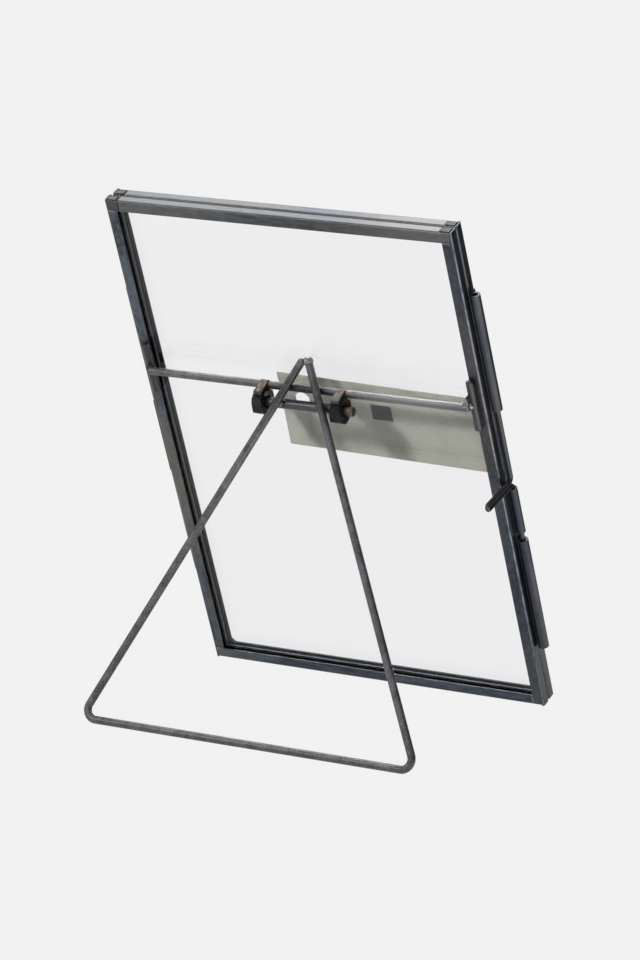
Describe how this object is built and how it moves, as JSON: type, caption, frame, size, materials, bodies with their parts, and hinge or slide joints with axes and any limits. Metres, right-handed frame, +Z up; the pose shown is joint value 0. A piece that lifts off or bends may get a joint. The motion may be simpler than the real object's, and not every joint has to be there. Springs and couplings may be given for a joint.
{
  "type": "tabletop glass picture frame",
  "caption": "Two-leaf frameless-look glass picture frame in thin folded metal channel, hinged on one side, pinned on the other, leaning on a folding wire easel stand.",
  "frame": {"origin": "middle of the footprint, on the surface the frame stands on", "axes": "+Z up, the picture side faces -Y and leans back towards +Y, where the wire stand is; +X is towards the hinge"},
  "size_m": [0.1258, 0.0932, 0.1646],
  "materials": {
    "blued_sheet": "chemically blackened sheet, satin, edges rubbed bright",
    "blued_wire": "blackened drawn wire, satin",
    "browned_steel": "blackened steel browned by brazing heat",
    "solder": "blackened solder, rubbed",
    "pane": "clear float glass, ground edges",
    "tag_paper": "grey-green uncoated paper",
    "tag_label": "dark grey uncoated paper"
  },
  "bodies": {
    "back_leaf": {"back_hinge_stile": "blued_sheet", "back_clasp_stile": "blued_sheet", "back_top_rail": "blued_sheet", "back_bottom_rail": "blued_sheet", "back_glass": "pane", "back_corner_solder": "solder", "paper_tag": "tag_paper", "tag_sticker": "tag_label", "crossbar": "blued_wire", "crossbar_foot_hinge_side": "blued_wire", "crossbar_weld_hinge_side": "solder", "foot_solder_hinge_side": "solder", "pivot_nut_hinge_side": "browned_steel", "nut_tab_hinge_side": "browned_steel", "crossbar_foot_clasp_side": "blued_wire", "crossbar_weld_clasp_side": "solder", "foot_solder_clasp_side": "solder", "pivot_nut_clasp_side": "browned_steel", "nut_tab_clasp_side": "browned_steel", "hinge_tube_middle": "blued_sheet", "clasp_keeper": "blued_sheet"},
    "front_leaf": {"front_hinge_stile": "blued_sheet", "front_clasp_stile": "blued_sheet", "front_top_rail": "blued_sheet", "front_bottom_rail": "blued_sheet", "front_glass": "pane", "front_corner_solder": "solder", "hinge_tube_upper": "blued_sheet", "hinge_tube_lower": "blued_sheet", "hinge_pin": "blued_wire", "clasp_tube_upper": "blued_sheet", "clasp_tube_lower": "blued_sheet"},
    "clasp_pin": {"clasp_pin": "blued_wire"},
    "stand": {"stand_wire": "blued_wire", "stand_tip_weld": "solder", "pivot_pin": "browned_steel", "pivot_pin_welds": "browned_steel"}
  },
  "joints": [
    {"name": "front_leaf_hinge", "type": "hinge", "parent": "back_leaf", "child": "front_leaf", "pos_m": [0.0618, -0.00983, 0.0823], "axis": [0, 0.3811, 0.9245], "range_deg": [0, 180]},
    {"name": "clasp_pin_slide", "type": "slide", "parent": "front_leaf", "child": "clasp_pin", "axis": [0, 0.3811, 0.9245], "range_m": [0, 0.0247]},
    {"name": "stand_fold", "type": "hinge", "parent": "back_leaf", "child": "stand", "pos_m": [0.00065, 0.00904, 0.10008], "axis": [-1, 0, 0], "range_deg": [0, 45.5]}
  ]
}
